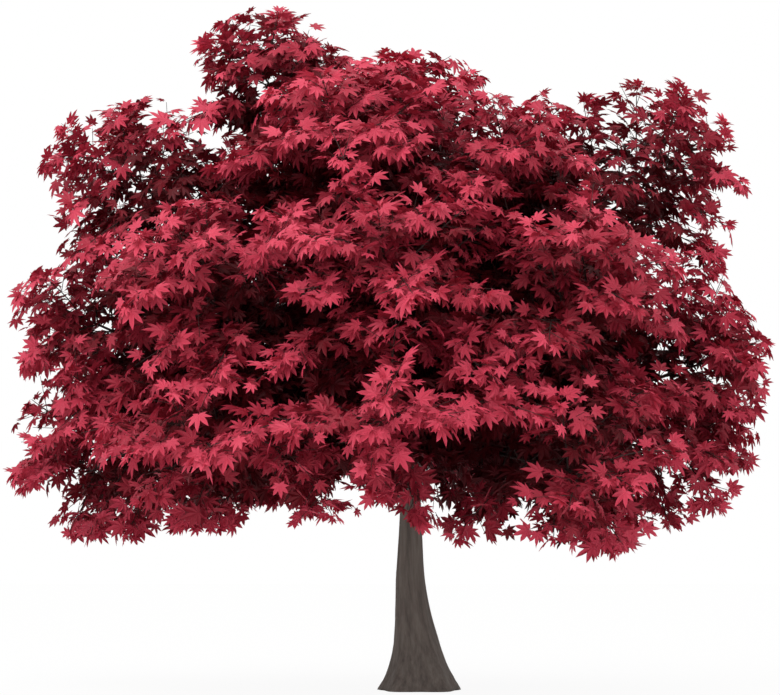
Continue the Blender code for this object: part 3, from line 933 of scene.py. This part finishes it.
class Foliage:
    # The wood and leaves of one mass, which stay in its space and clear of the limbs.

    def __init__(self, name, space, crown, guides, guideTree, seed):
        self.space = space
        self.crown = crown
        self.guides = guides
        self.guideTree = guideTree
        self.rng = random.Random(seed)
        self.fullness = fullness.get(name, 1)
        self.stems = []
        self.twigs = []
        self.leaves = []

    def clearOfLimbs(self, place):
        _, i, distance = self.guideTree.find(place)
        radius = self.guides[i][3]
        return distance > radius + leafSet["clearance"]

    def tint(self, place):
        # Painted shade: leaves are darker the deeper they sit inside the crown and brighter towards its
        # outside, with a random spread.
        depth = self.crown.room(place, (place - crownHeart).normalized())
        value = (1 - depth / leafSet["shadeDepth"]) * len(leafShadeTints)
        value += self.rng.uniform(-leafSet["tintSpread"], leafSet["tintSpread"])
        return min(max(int(value), 0), len(leafShadeTints) - 1)

    def leaf(self, foot, heading, side, tint):
        # Takes the first of a few turns that stays in the crown, each for a smaller leaf.
        if not self.clearOfLimbs(foot):
            return
        rng = self.rng
        stray = leafSet["stray"]
        out = (foot - crownHeart).normalized() + (foot - self.space.middle).normalized()
        out.z *= leafSet["outRise"]
        out.normalize()
        share = rng.uniform(*leafSet["variety"])
        for _ in range(leafSet["tries"]):
            scatter = Vector([rng.uniform(-most, most) for most in stray])
            face = (up * leafSet["facesUp"] + out * leafSet["facesOut"] + scatter).normalized()
            angle = leafSet["spread"] * side + rng.uniform(-leafSet["wander"], leafSet["wander"])
            tip = Matrix.Rotation(math.radians(angle), 3, face) @ heading
            tip -= up * rng.uniform(*leafSet["droop"]) * (1 - max(heading.z, 0))
            tip = (tip - face * tip.dot(face)).normalized()
            if self.crown.holds(foot + tip * share * leafSet["size"]):
                self.leaves.append((foot, face, tip, share, rng.randrange(leafSet["shapes"]), tint))
                return
            share *= leafSet["smaller"]

    def tier(self, place, heading):
        # The direction across a shoot's twigs, so that they lie in one leaning tier.
        out = (place - crownHeart).normalized()
        face = up + out * growth["tierTilt"]
        return face.cross(heading).normalized()

    def twig(self, foot, heading, length, tint):
        # A straight twig with a leaf at its tip and pairs of leaves along it, all of one tint.
        end = foot + heading * length
        first, last = growth["twigRadii"]
        self.twigs.append(([foot, end], [first, last]))
        self.leaf(end, heading, 0, tint)
        for share in leafSet["pairs"]:
            for side in (-1, 1):
                self.leaf(foot.lerp(end, share), heading, side, tint)

    def room(self, foot, heading):
        # How far a shoot may run.
        own = self.space.room(foot, heading, growth["swell"], growth["overlap"])
        return min(own, self.crown.room(foot, heading))

    def shoot(self, foot, heading, most=1):
        # An arching shoot that bears pairs of twigs, some leaves of its own and a twig at its tip.
        rng = self.rng
        length = max(self.room(foot, heading) - growth["shootStop"], growth["shootShortest"])
        length = min(length, most)
        count = max(int(length / growth["twigStep"]), 1)
        steepness = abs(heading.z)
        arch = up * growth["shootArch"] * length * (1 - steepness)
        line = []
        for i in range(count + 2):
            t = i / (count + 1)
            line.append(foot + heading * length * t + arch * t * (1 - t) * 4)  # it peaks half way
        first, last = growth["shootRadii"]
        radii = [first + (last - first) * i / (count + 1) for i in range(count + 2)]
        self.stems.append((line, radii))
        across = self.tier(foot + heading * length, heading)
        wander = growth["twigWander"]
        for i in range(1, count + 2):
            way = (line[i] - line[i - 1]).normalized()
            tint = self.tint(line[i])
            for side in (-1, 1):
                if rng.random() < growth["shootLeaves"] * self.fullness:
                    self.leaf(line[i], way, side, tint)
            sides = (0,) if i > count else (-1, 1)
            for side in sides:
                if rng.random() > self.fullness:
                    continue
                angle = math.radians(growth["twigAngle"] * side + rng.uniform(-wander, wander))
                crossing = 90 * (i % 2) * steepness  # every second pair of a steep shoot is turned
                spread = Matrix.Rotation(math.radians(crossing), 3, way) @ across
                spread += up * rng.uniform(-growth["tierSpread"], growth["tierSpread"])
                twigWay = (way * math.cos(angle) + spread * math.sin(angle)).normalized()
                room = self.crown.room(line[i], twigWay) - growth["twigStop"]
                wanted = rng.uniform(*growth["twigLength"])
                self.twig(line[i], twigWay, max(min(room, wanted), growth["twigShortest"]), tint)

    def grow(self, start, heading):
        # The mass's own stem, on from the tip of its bough, with crossed pairs of shoots.
        rng = self.rng
        end = start + heading * self.space.room(start, heading) * growth["stemReach"]
        upright = (up - heading * heading.z).normalized()
        turn = 0
        nodes = growth["stemNodes"]
        first, last = growth["stemRadii"]
        shares = (0, *nodes, 1)
        line = [start.lerp(end, share) for share in shares]
        self.stems.append((line, [first + (last - first) * share for share in shares]))
        wide, narrow = growth["stemAngles"]
        for share in nodes:
            turn += 90 + rng.uniform(-growth["stemTurn"], growth["stemTurn"])
            for half in (0, 180):
                tilt = wide + (narrow - wide) * share
                tilt = math.radians(tilt + rng.uniform(-growth["shootWander"], growth["shootWander"]))
                across = Matrix.Rotation(math.radians(turn + half), 3, heading) @ upright
                self.shoot(start.lerp(end, share), heading * math.cos(tilt) + across * math.sin(tilt))
        self.shoot(end, heading)

    def growAlong(self, bough):
        # The shoots that a bough bears inside the crown.
        turn = self.rng.uniform(0, 360)
        for share in growth["boughNodes"]:
            foot, heading, _ = bough.at(share)
            side = heading.orthogonal().normalized()
            turn += 90
            for half in (0, 180):
                across = Matrix.Rotation(math.radians(turn + half), 3, heading) @ side
                way = (across + heading * growth["boughLean"]).normalized()
                self.shoot(foot, way, growth["boughShoot"])


# Which masses each joined piece of foliage holds.
foliageGroups = {
    "low_front": ("low_front_left", "low_front", "low_front_right"),
    "low_sides": ("low_left", "low_right"),
    "low_back": ("low_back_right", "low_back", "low_back_left"),
    "middle_front": ("mid_front_left", "mid_front", "mid_front_right"),
    "middle_sides": ("mid_left", "mid_right"),
    "middle_back": ("mid_back_right", "mid_back", "mid_back_left"),
    "upper_front": ("upper_front", "upper_front_right", "top_centre"),
    "upper_sides": ("top_left", "top_right", "spire_left"),
    "upper_back": ("upper_back", "upper_back_right"),
}

woodSides = {"stems": 4, "twigs": 3}  # of their sections


def leafFeet(leaves):
    # A point at each leaf's foot, with its marks.
    feet, *marks = zip(*leaves)
    mesh = bpy.data.meshes.new("feet")
    mesh.from_pydata(feet, [], [])
    for (name, kind), values in zip(leafMarks.items(), marks):
        if kind == "FLOAT_VECTOR":
            values = [number for vector in values for number in vector]
        keepAtPoints(mesh, name, kind, values)
    return mesh


def growMasses(spaces, limbs, guides, guideTree):
    # The wood and leaves of every mass, each grown with a seed of its own.
    crown = Crown()
    grown = {}
    for seed, (bough, (_, _, mass)) in enumerate(boughs.items(), growth["seed"]):
        foliage = Foliage(mass, spaces[mass], crown, guides, guideTree, seed)
        tip, before = limbs[bough].line[-1], limbs[bough].line[-2]
        foliage.grow(tip, (tip - before).normalized())
        foliage.growAlong(limbs[bough])
        grown[mass] = foliage
    return grown


def makeFoliage(grown, tubeTree, wood, shadeTints):
    # Two pieces for each group of masses: one of its twigs and one of its leaves.
    shapes = bpy.data.collections.new("leafShapes")
    for number in range(leafSet["shapes"]):
        shapes.objects.link(makeLeafShape("leafShape%d" % number, number))
    leafTree = makeLeafTree(shadeTints)
    values = {"Shapes": shapes, "Leaf Size": leafSet["size"]}
    total = 0
    for group, members in foliageGroups.items():
        parts = []
        for kind, sides in woodSides.items():
            lines = [line for mass in members for line in getattr(grown[mass], kind)]
            parts.append(runTree(lineMesh(kind, lines), tubeTree, {"Sides": sides, "Wood": wood}))
        twigs = newPiece("twigs_" + group, joinedMesh(parts))
        leafList = [leaf for mass in members for leaf in grown[mass].leaves]
        leaves = newPiece("leaves_" + group, runTree(leafFeet(leafList), leafTree, values))
        for piece, slot in ((twigs, "bark"), (leaves, "leaves")):
            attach(piece, body)
            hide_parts(*members)
            print(piece.name, len(piece.data.polygons), "faces")
        total += len(leafList)
    for item in list(shapes.objects):
        bpy.data.objects.remove(item)
    bpy.data.collections.remove(shapes)
    print("foliage:", total, "leaves")


def main():
    bpy.context.scene.view_settings.view_transform = "Standard"
    makeCamera()
    makeDome()
    makeKeyLight()
    makeFloor()
    print("stage made")
    grainGroup = makeGrainGroup()
    barkMaterial = makeWoodMaterial("bark", barkLook, grainGroup, "barkPlace")
    twigMaterial = makeWoodMaterial("twigBark", twigLook, grainGroup)
    # Lit and shaded copies of the leaf red, for painted shade.
    shadeTints = [makeLeafMaterial(name, colour) for name, colour in leafShadeTints.items()]
    spaces = makeSpaces()
    limbs = makeLimbs(spaces)
    guides, guideTree = limbGuides(limbs)
    tubeTree = makeTubeTree()
    bark = makeBark(limbs, guides, guideTree, tubeTree, barkMaterial)
    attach(bark, body)
    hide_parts(*limbs)
    print("bark:", len(bark.data.polygons), "faces")
    grown = growMasses(spaces, limbs, guides, guideTree)
    print("twigs grown in", len(grown), "masses")
    makeFoliage(grown, tubeTree, twigMaterial, shadeTints)


main()
